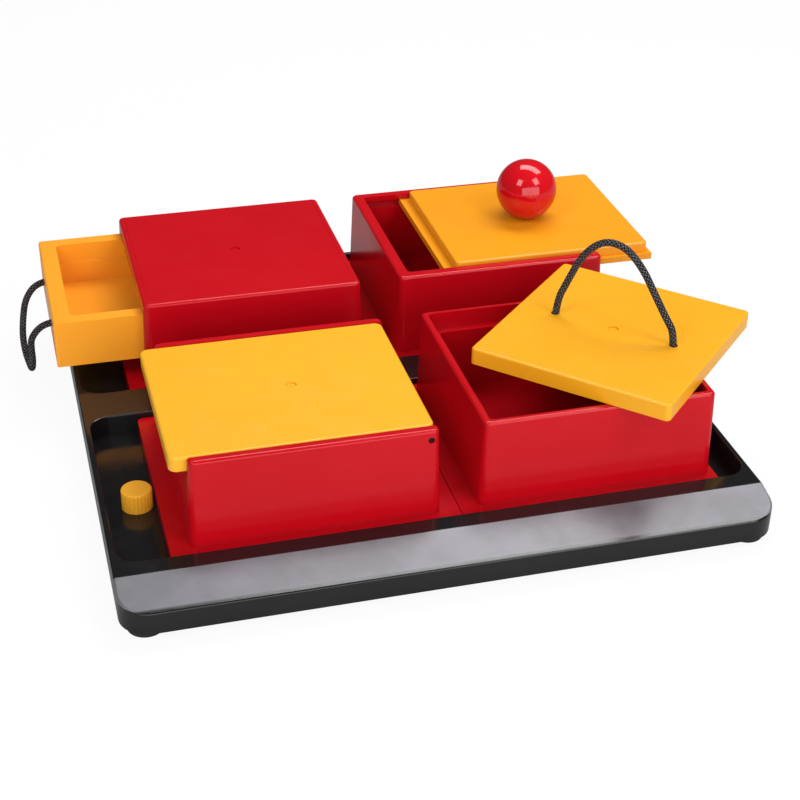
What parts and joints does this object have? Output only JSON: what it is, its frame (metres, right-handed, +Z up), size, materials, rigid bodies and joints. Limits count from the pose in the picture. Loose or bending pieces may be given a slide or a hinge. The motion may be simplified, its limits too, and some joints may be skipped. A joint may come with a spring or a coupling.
{
  "type": "dog puzzle feeder toy",
  "caption": "Square treat puzzle for dogs: a low black tray with red boxes opened by a drawer, a sliding lid, a push-button flap and a lift-off lid.",
  "frame": {"origin": "on the table under the middle of the part's outer box, with the drawer, slide and lid as they stand at rest", "axes": "+X to the right along the sloped front edge, +Y from the front to the back, +Z up"},
  "size_m": [0.3567, 0.31, 0.1173],
  "materials": {
    "red_plastic": "gloss",
    "black_plastic": "gloss",
    "yellow_plastic": "gloss",
    "amber_plastic": "gloss",
    "foot_rubber": "matte",
    "screw_steel": "satin",
    "rope_fabric": "matte"
  },
  "bodies": {
    "base": {"base_tray": "black_plastic", "foot_front_left": "foot_rubber", "foot_front_right": "foot_rubber", "foot_back_left": "foot_rubber", "foot_back_right": "foot_rubber", "drawer_box": "red_plastic", "slide_box": "red_plastic", "flap_box": "red_plastic", "lift_box": "red_plastic", "drawer_box_screws": "screw_steel", "slide_box_screws": "screw_steel", "flap_box_screws": "screw_steel", "lift_box_screws": "screw_steel", "lever_axle": "screw_steel"},
    "drawer": {"drawer_tray": "amber_plastic", "drawer_rope": "rope_fabric", "drawer_rope_knots": "rope_fabric"},
    "slider": {"slide_lid": "amber_plastic", "ball_knob": "red_plastic", "ball_knob_screw": "screw_steel"},
    "flap": {"flap_lid": "yellow_plastic", "flap_pin_front": "screw_steel", "flap_pin_back": "screw_steel"},
    "button": {"push_button": "yellow_plastic"},
    "lever": {"rocker_lever": "screw_steel"},
    "rod": {"push_rod": "screw_steel"},
    "lifter": {"lift_lid": "yellow_plastic", "lift_rope": "rope_fabric", "lift_rope_knots": "rope_fabric"}
  },
  "joints": [
    {"name": "drawer_slide", "type": "slide", "parent": "base", "child": "drawer", "axis": [1, 0, 0], "range_m": [-0.04, 0.043], "deforming": ["drawer_rope"]},
    {"name": "lid_slide", "type": "slide", "parent": "base", "child": "slider", "axis": [1, 0, 0], "range_m": [-0.0245, 0.08]},
    {"name": "flap_hinge", "type": "hinge", "parent": "base", "child": "flap", "pos_m": [-0.0129, -0.059, 0.057], "axis": [0, 1, 0], "range_deg": [0, 60]},
    {"name": "button_press", "type": "slide", "parent": "base", "child": "button", "axis": [0, 0, -1], "range_m": [0, 0.0036]},
    {"name": "lever_rock", "type": "hinge", "parent": "base", "child": "lever", "pos_m": [-0.08005, -0.066, 0.0039], "axis": [0, -1, 0], "range_deg": [0, 3.3]},
    {"name": "rod_lift", "type": "slide", "parent": "base", "child": "rod", "axis": [0, 0, 1], "range_m": [0, 0.0036]},
    {"name": "lid_lift", "type": "slide", "parent": "base", "child": "lifter", "axis": [0, 0, 1], "range_m": [0, 0.08]}
  ],
  "couplings": [
    {"joint": "button_press", "follows": "flap_hinge", "m_per_rad": 0.00342},
    {"joint": "lever_rock", "follows": "flap_hinge", "ratio": 0.053986},
    {"joint": "rod_lift", "follows": "flap_hinge", "m_per_rad": 0.00342}
  ]
}
